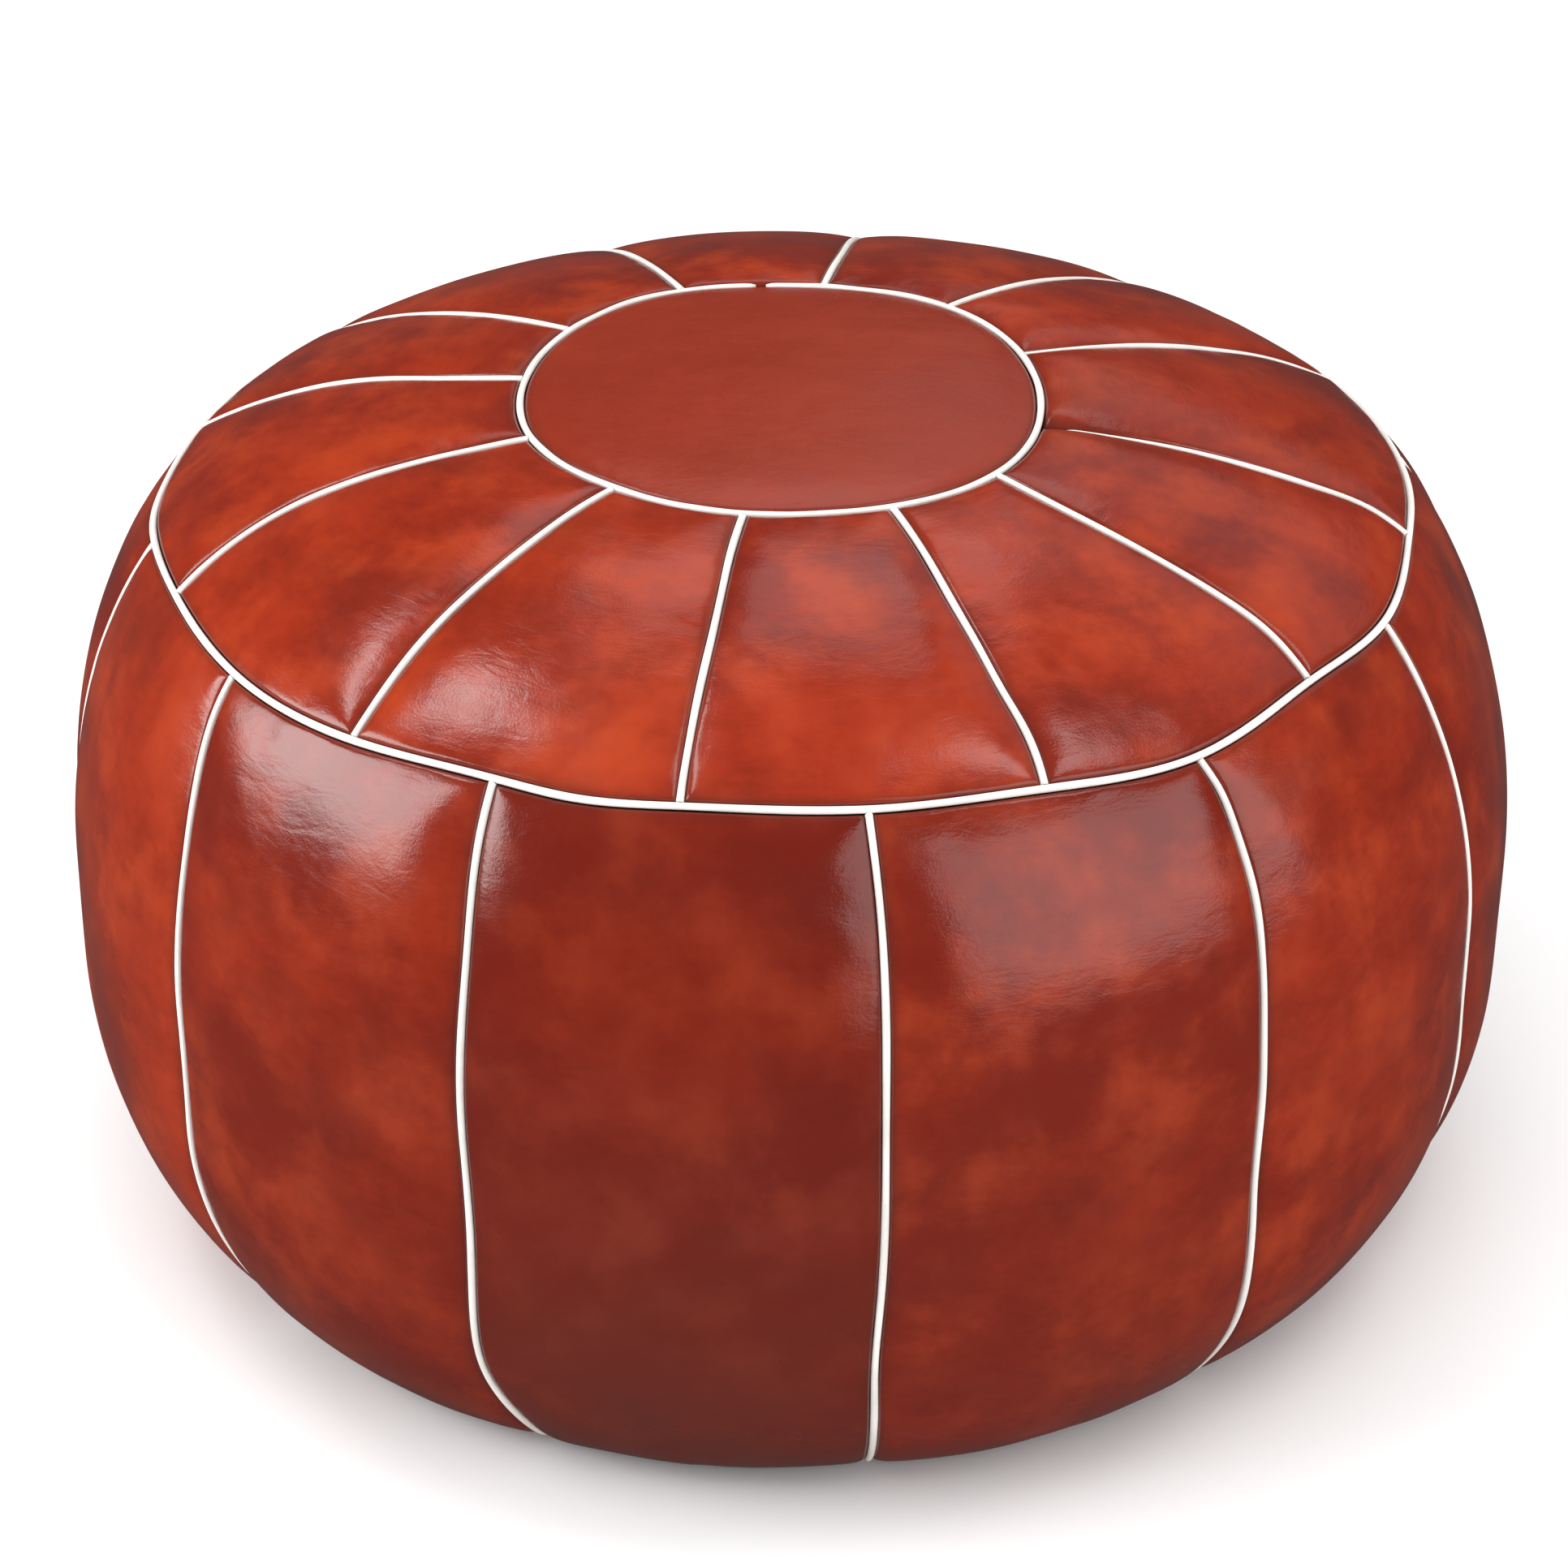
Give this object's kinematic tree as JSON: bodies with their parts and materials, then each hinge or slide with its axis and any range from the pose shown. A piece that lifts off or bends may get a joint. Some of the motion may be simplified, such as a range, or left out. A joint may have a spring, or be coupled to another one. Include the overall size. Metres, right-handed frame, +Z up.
{
  "type": "leather pouf",
  "caption": "Round stuffed leather pouf: domed top of wedge panels round a centre disc, barrel side of tall panels, contrasting corded piping in the seams, zip in the base.",
  "frame": {"origin": "on the floor, under the middle of the pouf", "axes": "+Z up along the pouf's axis, +X along the zip towards its shut end, +Y to the back"},
  "size_m": [0.55, 0.55, 0.331],
  "materials": {
    "leather": "satin",
    "piping": "satin",
    "filler_cord": "matte",
    "zip_tape": "matte",
    "zip_teeth": "satin",
    "zip_metal": "satin",
    "liner_cloth": "matte",
    "stuffing": "matte"
  },
  "bodies": {
    "cover": {"top_panel_01": "leather", "top_panel_02": "leather", "top_panel_03": "leather", "top_panel_04": "leather", "top_panel_05": "leather", "top_panel_06": "leather", "top_panel_07": "leather", "top_panel_08": "leather", "top_panel_09": "leather", "top_panel_10": "leather", "top_panel_11": "leather", "top_panel_12": "leather", "side_panel_01": "leather", "side_panel_02": "leather", "side_panel_03": "leather", "side_panel_04": "leather", "side_panel_05": "leather", "side_panel_06": "leather", "side_panel_07": "leather", "side_panel_08": "leather", "side_panel_09": "leather", "side_panel_10": "leather", "side_panel_11": "leather", "side_panel_12": "leather", "top_medallion": "leather", "inner_ring_piping": "piping", "outer_ring_piping": "piping", "top_radial_piping": "piping", "side_piping": "piping", "inner_ring_cord": "filler_cord", "outer_ring_cord": "filler_cord", "top_radial_cord": "filler_cord", "side_cord": "filler_cord", "bottom_panel_front": "leather", "bottom_panel_back": "leather", "zip_tape_front": "zip_tape", "zip_tape_back": "zip_tape", "zip_teeth_front": "zip_teeth", "zip_teeth_back": "zip_teeth", "zip_top_stops": "zip_metal", "zip_bottom_stop": "zip_metal", "inner_liner": "liner_cloth", "filling": "stuffing"},
    "slider": {"zip_slider": "zip_metal"},
    "pull_tab": {"zip_pull_tab": "zip_metal"}
  },
  "joints": [
    {"name": "zip_slide", "type": "slide", "parent": "cover", "child": "slider", "axis": [-1, 0, 0], "range_m": [0, 0.28]},
    {"name": "pull_tab_swing", "type": "hinge", "parent": "slider", "child": "pull_tab", "pos_m": [0.14, 0, 0.0033], "axis": [0, -1, 0], "range_deg": [0, 175]}
  ]
}
